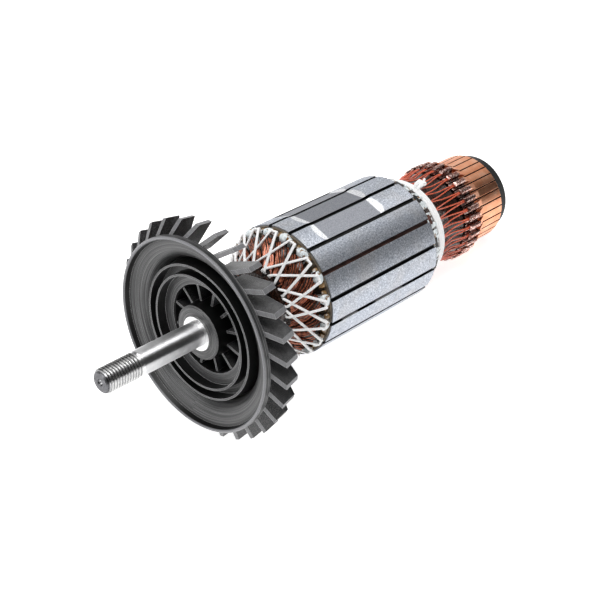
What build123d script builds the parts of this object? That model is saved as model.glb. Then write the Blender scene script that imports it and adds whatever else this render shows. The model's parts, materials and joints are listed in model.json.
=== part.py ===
"""Wound armature of a large hand grinder's motor: shaft, cooling fan, slotted core, coils, commutator.

Every piece is drawn about the shaft's axis, which is X, with the fan's front rim at x = 0 and the
commutator at the far end. Angles are counted about +X from +Z. At the end the whole armature is laid
down as it comes to rest, on two fan blades and the rear edge of the commutator bars.
"""

from build123d import *
from math import atan2, cos, degrees, pi, radians, sin, sqrt
import os

# Fits, the gap left between two pieces that seat on each other
seat_gap = 0.03

# Shaft
shaft_front = -42.9
thread_length = 16.4
thread_root_radius = 4.35
front_journal_radius = 5.0
hub_seat_radius = 6.0
core_seat_radius = 6.5
commutator_seat_radius = 6.0
rear_journal_radius = 4.0
rear_journal_length = 11.5
rear_shoulder = 2.0
shaft_chamfer = 0.7
centre_drill_radius = 1.5
centre_drill_depth = 3.2

# Spacer ring between the front bearing and the fan
spacer_front = 3.0
spacer_width = 3.0
spacer_radius = 7.0
spacer_seat_radius = 5.2

# Fan, front side: lip, dish, two ring walls, pocket and hub
fan_rim_radius = 39.8
fan_lip_width = 1.3
fan_lip_depth = 2.4
fan_lip_crown = 0.45
fan_lip_taper = 0.6
fan_rim_width = 2.9
dish_shoulder_radius = 33.2
dish_shoulder_depth = 4.3
dish_deep = 10.5
dish_bend_depth_share = 0.3
dish_bend_radius_share = 0.42
ring_front = 3.7
ring_wall = 0.85
outer_ring_radius = 27.9
inner_ring_radius = 23.8
ring_groove_floor = 9.0
inner_floor = 7.9
pocket_radius = 17.9
pocket_floor = 16.0
hub_radius = 11.1
hub_rear = 20.5
fan_wall = 2.0
hub_step = 0.4
rib_count = 12
rib_thickness = 1.0
rib_front = 8.8
rib_phase = 8.5

# Fan blades: flat swept plates on the back of the dish
blade_count = 30
blade_thickness = 1.7
blade_tip_x = 5.9
blade_tip_radius = 45.15
blade_rear_x = 12.7
blade_rear_radius = 44.0
blade_inner_radius = 31.5
blade_sweep = 5.2
blade_root_sink = 1.0
blade_root_seat = 0.3

# Laminated core
core_front = 49.3
core_length = 63.9
core_radius = 27.7
slot_count = 16
slot_phase = 3.3
slot_opening = 1.7
slot_lip = 0.9
slot_shoulder = 0.6
slot_top_width = 5.2
slot_bottom_width = 2.0
slot_bottom_radius = 16.5

# Balancing cuts milled into three neighbouring teeth
cut_depth = 0.8
cut_start = 8.4
cut_length = 39.0
cutter_radius = 18.0
first_cut_tooth = -2
cut_teeth = 3

# Insulation of the core and the shaft
end_disc_thickness = 0.8
end_disc_setback = 0.6
liner_thickness = 0.3
liner_cuff = 3.2
wedge_width = 4.1
wedge_thickness = 0.8
sleeve_thickness = 1.5

# Coils
slot_wire_overhang = 3.3
coil_twist = 26.0
coil_depth = 7.4
coil_section_sides = 8
front_coil_reach = 9.7
front_coil_root_setback = 6.8
front_coil_nose_radius = 15.0
nose_ring_radius = 13.6
nose_rounding = 1.2
lacing_radius = 0.5
lacing_sides = 6
lacing_loops = 18
lacing_out_turn = 28.0
lacing_back_turn = -12.0
lacing_cuff_setback = 0.9
lacing_nose_radius = 16.6
lacing_nose_setback = 0.4

# Rear end: coil head, band, leads and knot
rear_coil_root_setback = 2.5
rear_coil_shoulder = 0.9
rear_coil_shoulder_length = 2.4
rear_coil_waist = 17.9
rear_coil_waist_setback = 7.2
rear_coil_flare = 1.8
band_start = 8.8
band_width = 4.0
band_radius = 22.3
band_seat_radius = 20.9
band_edge = 0.5
lead_step = 0.4
lead_radius = 0.4
lead_sides = 6
lead_bend_air = 0.2
lead_spread = 2.9
lead_pinch = 1.5
lead_end_share = 0.62
knot_angle = 21.0
knot_size = 3.0
knot_rounding = 0.6

# Commutator
commutator_front = 142.0
bar_count = 32
bar_phase = 3.4
bar_gap = 0.6
bar_radius = 19.55
bar_foot_radius = 14.5
bar_front = 143.2
bar_length = 27.5
riser_length = 9.1
riser_radius = 20.1
bar_chamfer = 0.4
hook_radius = 22.3
hook_thickness = 0.75
hook_width = 2.3
hook_post = 2.0
hook_root_length = 4.6
hook_edge = 0.55
hook_tip_setback = 1.3
hook_sink = 0.6
hook_air = 0.12
mica_setback = 0.7
moulding_foot_gap = 0.2
moulding_front_rounding = 1.0
ring_rounding = 0.8
ring_recess_width = 2.4
ring_recess_depth = 1.5
ring_length = 6.2
ring_end_radius = 17.6
bush_radius = 8.4
bush_setback = 1.0

# Places worked out along the axis
core_rear = core_front + core_length
thread_end = shaft_front + thread_length
spacer_rear = spacer_front + spacer_width
front_disc_x = core_front - end_disc_thickness - seat_gap
rear_disc_x = core_rear + seat_gap
seat_start = front_disc_x - seat_gap
seat_end = rear_disc_x + end_disc_thickness + seat_gap
wire_front = core_front - slot_wire_overhang
wire_rear = core_rear + slot_wire_overhang
coil_front = wire_front - front_coil_reach
coil_head_start = wire_rear + seat_gap
band_front = core_rear + band_start
band_rear = band_front + band_width
coil_head_end = commutator_front - seat_gap
riser_end = bar_front + riser_length
bar_rear = bar_front + bar_length
commutator_rear = bar_rear + ring_length
journal_start = commutator_rear + rear_shoulder
shaft_rear = journal_start + rear_journal_length
lead_seat_radius = band_seat_radius - lead_step
waist_x = commutator_front - rear_coil_waist_setback
lead_hook_radius = riser_radius + lead_radius + hook_air
hook_tip_radius = lead_hook_radius + lead_radius + hook_air
slot_top_radius = core_radius - slot_lip - slot_shoulder
slot_flare = (slot_top_width - slot_bottom_width) / 2 / (slot_top_radius - slot_bottom_radius)
wedge_top_radius = slot_top_radius - seat_gap
wire_top_radius = wedge_top_radius - wedge_thickness - seat_gap
front_coil_root_radius = core_radius - front_coil_root_setback
lacing_cuff_radius = core_radius - lacing_cuff_setback
rear_coil_root_radius = core_radius - rear_coil_root_setback
slot_pitch = 360 / slot_count
bar_pitch = 360 / bar_count
blade_pitch = 360 / blade_count
blade_lean = atan2(
    fan_rim_radius * sin(radians(blade_sweep)),
    blade_tip_radius - fan_rim_radius * cos(radians(blade_sweep)),
)
blade_tip_half_width = blade_thickness / 2 / cos(blade_lean)


def turned(points):
    """Solid of revolution about the shaft's axis, from corners (x, radius)."""
    outline = make_face(Plane.XZ * Polyline(*points, close=True))
    return revolve(outline, Axis.X, 360)


def tube(start, end, inner, outer):
    """Plain tube about the shaft's axis."""
    return turned([(start, inner), (start, outer), (end, outer), (end, inner)])


def at_angle(shape, angle):
    """The shape turned about the shaft's axis."""
    return shape.rotate(Axis.X, angle)


def pattern(shape, count, phase=0.0):
    """Copies of the shape, evenly spaced about the shaft's axis."""
    return [at_angle(shape, phase + 360 / count * k) for k in range(count)]


def polar(radius, angle):
    """Point of a cross-section, as (y, z)."""
    return (-radius * sin(radians(angle)), radius * cos(radians(angle)))


def cross_section(points, start, end):
    """Prism along the shaft from a cross-section's corners (y, z)."""
    face = Plane.YZ * make_face(Polyline(*points, close=True))
    return extrude(Pos(start, 0, 0) * face, end - start)


def side_plate(points, thickness):
    """Plate in a plane through the axis, from corners (x, z), centred on that plane."""
    face = make_face(Plane.XZ * Polyline(*points, close=True))
    return extrude(face, thickness / 2, both=True)


# Shaft and what is pushed onto its front
def make_shaft():
    c = shaft_chamfer
    body = turned(
        [
            (shaft_front, 0),
            (shaft_front, thread_root_radius - c),
            (shaft_front + c, thread_root_radius),
            (thread_end, thread_root_radius),
            (thread_end + c, front_journal_radius),
            (spacer_front - seat_gap, front_journal_radius),
            (spacer_front - seat_gap, spacer_seat_radius),
            (spacer_rear, spacer_seat_radius),
            (spacer_rear, hub_seat_radius),
            (seat_start, hub_seat_radius),
            (seat_start, core_seat_radius),
            (seat_end, core_seat_radius),
            (seat_end, commutator_seat_radius),
            (journal_start - c, commutator_seat_radius),
            (journal_start, commutator_seat_radius - c),
            (journal_start, rear_journal_radius),
            (shaft_rear - c, rear_journal_radius),
            (shaft_rear, rear_journal_radius - c),
            (shaft_rear, 0),
        ]
    )
    front_hole = turned(
        [(shaft_front, 0), (shaft_front, centre_drill_radius), (shaft_front + centre_drill_depth, 0)]
    )
    rear_hole = turned(
        [(shaft_rear, 0), (shaft_rear, centre_drill_radius), (shaft_rear - centre_drill_depth, 0)]
    )
    return body - front_hole - rear_hole


def make_spacer():
    return tube(spacer_front, spacer_rear - seat_gap, spacer_seat_radius + seat_gap, spacer_radius)


# Fan
def fan_disc():
    """Dished disc with its lip, ring walls, pocket and hub, as one turned profile."""
    bore = hub_seat_radius + seat_gap
    lip_inner = fan_rim_radius - fan_lip_width
    lip_foot = lip_inner - fan_lip_taper
    crown = fan_lip_crown
    ring_a = outer_ring_radius
    ring_b = inner_ring_radius
    front_side = [
        (spacer_rear, bore),
        (spacer_rear, spacer_radius + seat_gap),
        (ring_front, spacer_radius + seat_gap),
        (ring_front, hub_radius - 2 * hub_step),
        (ring_front + hub_step, hub_radius),
        (pocket_floor, hub_radius + hub_step),
        (pocket_floor, pocket_radius - 2 * hub_step),
        (inner_floor + 2 * hub_step, pocket_radius),
        (inner_floor, pocket_radius + hub_step),
        (inner_floor, ring_b - ring_wall),
        (ring_front, ring_b - ring_wall),
        (ring_front, ring_b),
        (ring_groove_floor, ring_b + hub_step / 2),
        (ring_groove_floor, ring_a - ring_wall),
        (ring_front, ring_a - ring_wall),
        (ring_front, ring_a),
        (dish_deep, ring_a + 2 * hub_step),
    ]
    dish_root = ring_a + 2 * hub_step
    bend_x = dish_shoulder_depth + dish_bend_depth_share * (dish_deep - dish_shoulder_depth)
    bend_radius = dish_root + dish_bend_radius_share * (dish_shoulder_radius - dish_root)
    shoulder = (dish_shoulder_depth, dish_shoulder_radius)
    dish = ThreePointArc(front_side[-1], (bend_x, bend_radius), shoulder)
    lip = [
        shoulder,
        (fan_lip_depth, lip_foot),
        (crown, lip_inner),
        (0, lip_inner + crown),
        (0, fan_rim_radius - crown),
        (crown, fan_rim_radius),
        (fan_rim_width, fan_rim_radius),
        (fan_lip_depth + fan_wall, lip_foot),
        (dish_shoulder_depth + fan_wall, dish_shoulder_radius + hub_step),
    ]
    back_bend = (bend_x + fan_wall, bend_radius + hub_step)
    deep_back = (dish_deep + fan_wall, ring_a + 4 * hub_step)
    back_arc = ThreePointArc(lip[-1], back_bend, deep_back)
    pocket_wall = pocket_radius + fan_wall
    back_side = [
        deep_back,
        (dish_deep + fan_wall, ring_b),
        (inner_floor + fan_wall, ring_b - fan_wall),
        (inner_floor + fan_wall, pocket_wall),
        (pocket_floor + fan_wall, pocket_wall - hub_step),
        (pocket_floor + fan_wall, hub_radius + fan_wall),
        (hub_rear, hub_radius + fan_wall - hub_step),
        (hub_rear, bore),
        front_side[0],
    ]
    edges = Polyline(*front_side) + dish + Polyline(*lip) + back_arc + Polyline(*back_side)
    return revolve(make_face(Plane.XZ * edges), Axis.X, 360)


def fan_blade():
    """One blade at the top: a flat plate that leans back from its tip, cut to the blade's side outline."""
    reach = blade_tip_radius - blade_inner_radius + blade_thickness
    half = blade_tip_half_width
    shift = reach * sin(blade_lean) / cos(blade_lean)
    foot = blade_tip_radius - reach
    plate = cross_section(
        [(-half, blade_tip_radius), (half, blade_tip_radius), (half + shift, foot), (-half + shift, foot)],
        fan_rim_width,
        blade_rear_x,
    )
    inside = blade_root_sink
    outline = side_plate(
        [
            (fan_rim_width, fan_rim_radius - blade_root_seat),
            (blade_tip_x, blade_tip_radius),
            (blade_rear_x, blade_rear_radius),
            (blade_rear_x, blade_inner_radius),
            (dish_shoulder_depth + inside, blade_inner_radius),
        ],
        4 * shift,
    )
    return plate & outline


def make_fan():
    rib_inner = hub_radius - hub_step
    rib_outer = pocket_radius + hub_step
    rib = side_plate(
        [
            (rib_front, rib_inner),
            (rib_front, rib_outer),
            (pocket_floor + hub_step, rib_outer),
            (pocket_floor + hub_step, rib_inner),
        ],
        rib_thickness,
    )
    blades = pattern(fan_blade(), blade_count, blade_pitch / 2)
    ribs = pattern(rib, rib_count, rib_phase)
    return fan_disc().fuse(*blades, *ribs)


# Laminated core with its insulation
def slot_outline(inset, opening=True, rise=0.0):
    """Corners (y, z) of the slot at the top of the core, drawn in by inset, its top raised by rise."""
    half_open = slot_opening / 2 - inset
    half_top = slot_top_width / 2 - inset + slot_flare * rise
    half_bottom = slot_bottom_width / 2 - inset
    top = slot_top_radius - inset + rise
    bottom = slot_bottom_radius + inset
    right = [(half_bottom, bottom), (half_top, top)]
    if opening:
        right += [(half_open, core_radius - slot_lip), (half_open, core_radius + 1)]
    left = [(-y, z) for y, z in reversed(right)]
    return right + left


def slotted_disc(start, end, radius):
    """Round plate with the core's slots and the shaft's hole."""
    disc = tube(start, end, core_seat_radius + seat_gap, radius)
    slot = cross_section(slot_outline(0), start - 1, end + 1)
    return disc.cut(*pattern(slot, slot_count, slot_phase))


def balancing_cut():
    """Shape of one milled cut, with the cutter's round at both ends."""
    floor = core_radius - cut_depth
    start = core_front + cut_start
    end = start + cut_length
    run = sqrt(cutter_radius**2 - (cutter_radius - cut_depth) ** 2)
    drop = cutter_radius - sqrt(cutter_radius**2 - (run / 2) ** 2)
    rise = 2 * cut_depth
    path = Polyline((start + run, floor), (end - run, floor))
    rear = ThreePointArc((end - run, floor), (end - run / 2, floor + drop), (end, core_radius))
    front = ThreePointArc((start, core_radius), (start + run / 2, floor + drop), (start + run, floor))
    above = core_radius + rise
    lid = Polyline((end, core_radius), (end, above), (start, above), (start, core_radius))
    face = make_face(Plane.XZ * (path + rear + lid + front))
    width = 2 * pi * core_radius / slot_count - slot_opening
    return extrude(face, width / 2, both=True)


def make_core():
    core = slotted_disc(core_front, core_rear, core_radius)
    teeth = [slot_phase + slot_pitch * (first_cut_tooth + k + 0.5) for k in range(cut_teeth)]
    return core.cut(*[at_angle(balancing_cut(), angle) for angle in teeth])


def make_end_disc(start):
    return slotted_disc(start, start + end_disc_thickness, core_radius - end_disc_setback)


def make_liners():
    """Folded paper troughs, open towards the slot's mouth."""
    start = core_front - liner_cuff
    end = core_rear + liner_cuff
    sleeve = cross_section(slot_outline(seat_gap, False), start, end)
    hollow = cross_section(slot_outline(seat_gap + liner_thickness, False, 1), start - 1, end + 1)
    return pattern(sleeve - hollow, slot_count, slot_phase)


def make_wedges():
    """Closing strips under the slot openings, between the liner's edges."""
    top = wedge_top_radius
    half = wedge_width / 2
    corners = [(-half, top - wedge_thickness), (-half, top), (half, top), (half, top - wedge_thickness)]
    wedge = cross_section(corners, core_front - liner_cuff, core_rear + liner_cuff)
    return pattern(wedge, slot_count, slot_phase)


def make_slot_wires():
    """Wire bundles in the slots, below the closing strips."""
    inset = 2 * seat_gap + liner_thickness
    bundle = cross_section(slot_outline(inset, False), wire_front, wire_rear)
    room = tube(wire_front - 1, wire_rear + 1, wire_top_radius, core_radius + 1)
    return pattern(bundle - room, slot_count, slot_phase)


def make_sleeve(start, end, inner):
    return tube(start, end, inner + seat_gap, inner + seat_gap + sleeve_thickness)


# Coil ends
def coil_section(x, radius, angle, width, depth):
    """Rounded cross-section of a coil bundle, on a plane square to the shaft."""
    y, z = polar(radius, angle)
    plane = Plane(origin=(x, y, z), x_dir=(0, cos(radians(angle)), sin(radians(angle))), z_dir=(1, 0, 0))
    turns = [2 * pi * (k + 0.5) / coil_section_sides for k in range(coil_section_sides)]
    fit = 1 / cos(pi / coil_section_sides)
    corners = [(fit * width / 2 * cos(a), fit * depth / 2 * sin(a)) for a in turns]
    return plane * make_face(Polyline(*corners, close=True))


def bundle_width(radius, share):
    return 2 * pi * radius / slot_count * share


def make_front_coils():
    """Bundles that leave the slots, lean round the shaft and meet in the nose ring."""
    root = front_coil_root_radius
    nose = front_coil_nose_radius
    start = wire_front - seat_gap
    run = start - coil_front - nose_rounding
    # Stations as shares of the run, of the drop to the nose, of the lean, of the pitch and of the depth
    stations = [(0, 0, 0, 0.86, 1), (0.3, 0.27, 0.3, 0.86, 1), (0.72, 0.78, 0.74, 0.84, 0.64), (1, 1, 1, 0.8, 0.42)]
    sections = []
    for along, drop, lean, width, depth in stations:
        radius = root + drop * (nose - root)
        sections.append(coil_section(start - along * run, radius, lean * coil_twist,
                                     bundle_width(radius, width), depth * coil_depth))
    bundle = loft(sections, ruled=True)
    inner = hub_seat_radius + 2 * seat_gap + sleeve_thickness
    ring = turned(
        [
            (coil_front, inner + nose_rounding),
            (coil_front, nose_ring_radius - nose_rounding),
            (coil_front + nose_rounding, nose_ring_radius),
            (start, nose_ring_radius + nose_rounding),
            (start, inner),
            (coil_front + nose_rounding, inner),
        ]
    )
    return ring.fuse(*pattern(bundle, slot_count, slot_phase))


def cord(points, radius, sides):
    """Straight stretches of cord through the points, each as a prism that reaches a little past its ends."""
    stretches = []
    for start, end in zip(points, points[1:]):
        along = (end - start).normalized()
        section = Plane(origin=start - along * radius, z_dir=along) * RegularPolygon(radius, sides)
        stretches.append(extrude(section, (end - start).length + 2 * radius))
    return stretches[0].fuse(*stretches[1:]) if len(stretches) > 1 else stretches[0]


def make_lacing():
    """Cords over the front coils: from the nose out to the slot cuffs, and back to the nose further on."""
    cuff_x = wire_front - lacing_radius
    nose_x = coil_front + lacing_nose_setback
    y, z = polar(lacing_nose_radius, 0)
    nose = Vector(nose_x, y, z)
    stretches = []
    for turn in (lacing_out_turn, lacing_back_turn):
        y, z = polar(lacing_cuff_radius, turn)
        run = cord([nose, Vector(cuff_x, y, z)], lacing_radius, lacing_sides)
        stretches += pattern(run, lacing_loops, slot_phase)
    return stretches[0].fuse(*stretches[1:])


def make_rear_coils():
    inner = commutator_seat_radius + 2 * seat_gap + sleeve_thickness
    return turned(
        [
            (coil_head_start, inner),
            (coil_head_start, rear_coil_root_radius),
            (band_front - rear_coil_shoulder_length, rear_coil_root_radius - rear_coil_shoulder),
            (band_front, band_seat_radius + rear_coil_shoulder),
            (band_front, band_seat_radius),
            (band_rear, band_seat_radius),
            (band_rear, lead_seat_radius),
            (waist_x, rear_coil_waist),
            (coil_head_end, rear_coil_waist + rear_coil_flare),
            (coil_head_end, inner),
        ]
    )


def make_band():
    """Wound cord band that ties down the rear coil head."""
    inner = band_seat_radius + seat_gap
    return turned(
        [
            (band_front + seat_gap, inner),
            (band_front + seat_gap, band_radius - band_edge),
            (band_front + band_edge, band_radius),
            (band_rear - band_edge, band_radius),
            (band_rear, band_radius - band_edge),
            (band_rear, inner),
        ]
    )


def make_knot():
    """Tuft of the band's tied-off end."""
    half = knot_size / 2
    x = band_front + band_width / 2
    base = band_radius + seat_gap
    knot = Pos(x, 0, base + half) * Box(knot_size, knot_size, knot_size)
    room = tube(x - knot_size, x + knot_size, rear_coil_waist, base)
    return at_angle(chamfer(knot.edges(), knot_rounding) - room, knot_angle)


def make_leads():
    """Two wires to each hook: spread at the band, down to the waist and up under the hook."""
    lift = lead_radius + seat_gap
    stops = [
        (band_rear + 2 * lead_radius, lead_seat_radius + lift, lead_spread),
        (waist_x, rear_coil_waist + lift + lead_bend_air, (lead_spread + lead_pinch) / 2),
        (commutator_front + lead_radius, lead_hook_radius, lead_pinch),
        (bar_front + lead_end_share * riser_length, lead_hook_radius, lead_pinch),
    ]
    wires = []
    for side in (-1, 1):
        points = [Vector(x, *polar(radius, side * angle)) for x, radius, angle in stops]
        wires.append(cord(points, lead_radius, lead_sides))
    return [wire for pair in wires for wire in pattern(pair, bar_count, bar_phase)]


# Commutator
def make_bar():
    """One copper bar at the top of the commutator, with its hook folded over the leads."""
    c = bar_chamfer
    profile = side_plate(
        [
            (bar_front, bar_foot_radius),
            (bar_front, riser_radius),
            (riser_end, riser_radius),
            (riser_end, bar_radius),
            (bar_rear - c, bar_radius),
            (bar_rear, bar_radius - c),
            (bar_rear, bar_foot_radius),
        ],
        2 * bar_pitch,
    )
    outer = riser_radius + hook_thickness
    half_pitch = radians(bar_pitch / 2)
    half_gap = bar_gap / 2 / cos(half_pitch)
    foot = bar_foot_radius
    wedge = cross_section(
        [
            (foot * sin(half_pitch) - half_gap, foot * cos(half_pitch)),
            (outer * sin(half_pitch) - half_gap, outer * cos(half_pitch)),
            (-outer * sin(half_pitch) + half_gap, outer * cos(half_pitch)),
            (-foot * sin(half_pitch) + half_gap, foot * cos(half_pitch)),
        ],
        bar_front - 1,
        bar_rear + 1,
    )
    riser = tube(bar_front - 1, riser_end, bush_radius, riser_radius)
    turned_skin = riser + tube(riser_end, bar_rear + 1, bush_radius, bar_radius)
    t = hook_thickness
    tip = bar_front + hook_tip_setback
    hook = side_plate(
        [
            (riser_end + hook_root_length, bar_radius - hook_sink),
            (riser_end + hook_root_length, bar_radius),
            (riser_end, hook_radius - t),
            (riser_end - t, hook_radius),
            (tip + t, hook_radius),
            (tip, hook_radius - t),
            (tip, hook_tip_radius),
            (tip + t, hook_tip_radius),
            (tip + t, hook_radius - t),
            (riser_end - hook_post, hook_radius - t),
            (riser_end - hook_post, bar_radius - hook_sink),
        ],
        hook_width,
    )
    half = hook_width / 2
    low = bar_radius - hook_sink - 1
    edge = hook_edge
    rounded = cross_section(
        [
            (-half, low),
            (-half, hook_radius - edge),
            (-half + edge, hook_radius),
            (half - edge, hook_radius),
            (half, hook_radius - edge),
            (half, low),
        ],
        bar_front,
        riser_end + hook_root_length,
    )
    return (profile & wedge & turned_skin) + (hook & rounded)


def make_moulding():
    """Moulded body that holds the bars, with a thin fin between each two bars."""
    inner = bush_radius + seat_gap
    foot = bar_foot_radius - moulding_foot_gap
    fin_top = bar_radius - mica_setback
    rounding = moulding_front_rounding
    body = turned(
        [
            (commutator_front, inner),
            (commutator_front, fin_top - rounding),
            (commutator_front + rounding, fin_top),
            (bar_front - seat_gap, fin_top),
            (bar_front - seat_gap, foot),
            (bar_rear + seat_gap, foot),
            (bar_rear + seat_gap, bar_radius - bar_chamfer),
            (commutator_rear - ring_rounding, ring_end_radius),
            (commutator_rear, ring_end_radius - ring_rounding),
            (commutator_rear, ring_end_radius - ring_recess_width),
            (commutator_rear - ring_recess_depth, ring_end_radius - ring_recess_width - ring_rounding),
            (commutator_rear - ring_recess_depth, inner),
        ]
    )
    fin_foot = foot - bar_gap
    fin = side_plate(
        [
            (bar_front - 2 * seat_gap, fin_foot),
            (bar_front - 2 * seat_gap, fin_top),
            (bar_rear + 2 * seat_gap, fin_top),
            (bar_rear + 2 * seat_gap, fin_foot),
        ],
        bar_gap - 2 * seat_gap,
    )
    return body.fuse(*pattern(fin, bar_count, bar_phase + bar_pitch / 2))


def make_bush():
    inner = commutator_seat_radius + seat_gap
    return tube(commutator_front, commutator_rear - bush_setback, inner, bush_radius)


def make_pieces():
    """Every node's name with its solid or list of solids, drawn about the X axis."""
    pieces = {
        "shaft": make_shaft(),
        "fan_spacer": make_spacer(),
        "fan": make_fan(),
        "laminated_core": make_core(),
        "front_end_disc": make_end_disc(front_disc_x),
        "rear_end_disc": make_end_disc(rear_disc_x),
        "slot_liners": make_liners(),
        "slot_wedges": make_wedges(),
        "slot_wires": make_slot_wires(),
        "front_shaft_sleeve": make_sleeve(hub_rear + seat_gap, seat_start - seat_gap, hub_seat_radius),
        "rear_shaft_sleeve": make_sleeve(seat_end + seat_gap, coil_head_end, commutator_seat_radius),
        "front_coils": make_front_coils(),
        "front_lacing": make_lacing(),
        "rear_coils": make_rear_coils(),
        "rear_band": make_band(),
        "band_knot": make_knot(),
        "lead_wires": make_leads(),
        "commutator_moulding": make_moulding(),
        "commutator_bush": make_bush(),
    }
    bar = make_bar()
    for k in range(bar_count):
        pieces[f"commutator_bar_{k + 1:02d}"] = at_angle(bar, bar_phase + bar_pitch * k)
    return pieces


# Rest: two blade tips and the first other edge that touches the ground
def rest_tilt():
    """Angle by which the commutator's end drops, from the edge that comes down first."""
    turn = radians(blade_pitch / 2)
    tip_height = blade_tip_radius * cos(turn) + blade_tip_half_width * sin(turn)
    edges = [(core_rear, core_radius), (riser_end, hook_radius), (bar_rear - bar_chamfer, bar_radius)]
    return min(degrees(atan2(tip_height - radius, x - blade_tip_x)) for x, radius in edges)


def solids_of(piece):
    if isinstance(piece, list):
        return [solid for item in piece for solid in item.solids()]
    return list(piece.solids())


def lay_down(pieces):
    """Solids of each node, tilted to rest, standing on z = 0 and centred over the origin."""
    tilt = rest_tilt()
    tilted = {name: [s.rotate(Axis.Y, tilt) for s in solids_of(piece)] for name, piece in pieces.items()}
    box = Compound([s for solids in tilted.values() for s in solids]).bounding_box()
    move = Pos(-box.center().X, -box.center().Y, -box.min.Z)
    return {name: [move * s for s in solids] for name, solids in tilted.items()}


os.makedirs("parts", exist_ok=True)
for node, solids in lay_down(make_pieces()).items():
    export_step(solids[0] if len(solids) == 1 else Compound(solids), f"parts/{node}.step")
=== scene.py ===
"""Looks of a wound motor armature that lies on a pale floor.

Everything is drawn in the shaft's own frame, in millimetres: X runs along the shaft from the threaded
end, with the fan's front rim at x = 0, and angles are counted about +X from +Z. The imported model's front
bearing seat says where that frame lies, and the matrix LAY moves each piece there.
"""

import json
from math import cos, degrees, pi, radians, sin
import random

import bpy
from mathutils import Matrix, Vector


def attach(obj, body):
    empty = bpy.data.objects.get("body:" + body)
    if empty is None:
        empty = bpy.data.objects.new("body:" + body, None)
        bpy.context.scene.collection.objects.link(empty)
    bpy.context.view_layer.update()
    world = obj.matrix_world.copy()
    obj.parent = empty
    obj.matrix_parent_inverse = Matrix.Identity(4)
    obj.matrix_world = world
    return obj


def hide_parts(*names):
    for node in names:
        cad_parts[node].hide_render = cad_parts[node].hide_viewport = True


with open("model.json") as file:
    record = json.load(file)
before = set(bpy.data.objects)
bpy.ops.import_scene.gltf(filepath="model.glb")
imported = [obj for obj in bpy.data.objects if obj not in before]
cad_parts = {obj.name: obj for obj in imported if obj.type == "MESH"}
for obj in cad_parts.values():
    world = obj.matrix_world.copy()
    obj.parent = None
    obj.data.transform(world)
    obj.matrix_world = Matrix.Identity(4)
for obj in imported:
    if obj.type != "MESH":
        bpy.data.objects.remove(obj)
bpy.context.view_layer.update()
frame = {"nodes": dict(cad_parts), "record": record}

# Sizes shared with the solids, in millimetres and degrees
MM = 0.001
SEAT_MIDDLE_X = -11.415
THREAD_FRONT = -42.4
THREAD_END = -26.0
THREAD_PITCH = 1.25
THREAD_RADIUS = 5.0
THREAD_ROOT = 4.3
SLOTS = 16
SLOT_PHASE = 3.3
SLOT_PITCH = 360 / SLOTS
COIL_START = 45.97
COIL_RUN = 8.47
COIL_ROOT = 20.9
COIL_NOSE = 15.0
COIL_DEPTH = 7.4
COIL_LEAN = 26.0
# Shares of the run, the drop to the nose, the lean, the slot pitch and the depth
COIL_STATIONS = [
    (0, 0, 0, 0.86, 1),
    (0.3, 0.27, 0.3, 0.86, 1),
    (0.72, 0.78, 0.74, 0.84, 0.64),
    (1, 1, 1, 0.8, 0.42),
]
BAND_FRONT = 122.0
BAND_REAR = 126.0
BAND_RADIUS = 22.3
BAND_SEAT = 20.9
WAIST_X = 134.8
WAIST_RADIUS = 17.9
BARS = 32
BAR_PHASE = 3.4
BAR_PITCH = 360 / BARS

# Where the looks change, in millimetres and degrees. The photographed hooks end here; the solid ones are
# longer, and behind this place they look like the running track, which they leave at these radii, where the
# painted shade on the bars' sides mostly ends.
HOOK_END = 151.4
TRACK_RADII = (19.5, 19.8)
# Two slots that aren't closed as the rest: a browner strip, and grey paper in two stretches of another
BROWN_SLOT = 48.3
GREY_SLOT = 93.3
SLOT_REACH = 8
GREY_STRETCHES = ((56.0, 65.0), (75.7, 92.5))
# The core: where the milled cuts begin, where the slots and their painted shade begin, and the bright
# run-outs of the cuts
MILLED_RADII = (27.64, 27.5)
SLOT_RADII = (26.8, 26.5)
RUN_OUTS = ((58.0, 61.6), (92.8, 96.4))
# The fan: front face, the step behind the lip and the pocket, both painted in shade, and the lip and blades,
# whose faces get painted highlights
FAN_FACE_X = (12.5, 10.5)
FAN_STEP_X = (0.35, 3.4)
FAN_STEP = (37.2, 38.75)
FAN_POCKET = (29.0, 28.5)
FAN_LIP = (38.5, 39.85)
FAN_BLADES = (39.85, 40.2)

# The camera, as fitted to the photograph: the shaft's direction and the rim plane's centre as seen from
# the camera (right, down, ahead), and how far the part is turned about its shaft
SHAFT_IN_VIEW = Vector((0.6905, -0.3601, 0.6273)).normalized()
FAN_IN_VIEW = Vector((-41.25, 13.87, 483.51))
TURN_IN_VIEW = radians(28.1)
LENS = 77.3
SENSOR = 36.0


def shaft_frame():
    """The shaft's frame, in millimetres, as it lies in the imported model's frame."""
    seat = next(m for m in frame["record"]["mounts"] if m["name"] == "front_bearing_journal")
    along = -Vector(seat["axis"]).normalized()
    across = Vector((0, 1, 0))
    up = along.cross(across)
    origin = Vector(seat["pos_m"]) - along * SEAT_MIDDLE_X * MM
    turn = Matrix((along, across, up)).transposed().to_4x4()
    return Matrix.Translation(origin) @ turn @ Matrix.Diagonal((MM, MM, MM, 1))


LAY = shaft_frame()


def polar(x, radius, angle):
    """Point at a place along the shaft, a radius and an angle in degrees."""
    a = radians(angle)
    return Vector((x, -radius * sin(a), radius * cos(a)))


# Mesh pieces
def piece(name, verts, faces, material, sharp=35.0):
    """A mesh piece from points in the shaft's frame, riding on the armature."""
    mesh = bpy.data.meshes.new(name)
    mesh.from_pydata([LAY @ Vector(v) for v in verts], [], faces)
    mesh.update()
    mesh.polygons.foreach_set("use_smooth", [True] * len(mesh.polygons))
    mesh.set_sharp_from_angle(angle=radians(sharp))
    mesh.materials.append(material)
    obj = bpy.data.objects.new(name, mesh)
    bpy.context.scene.collection.objects.link(obj)
    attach(obj, "root")
    return obj


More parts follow.
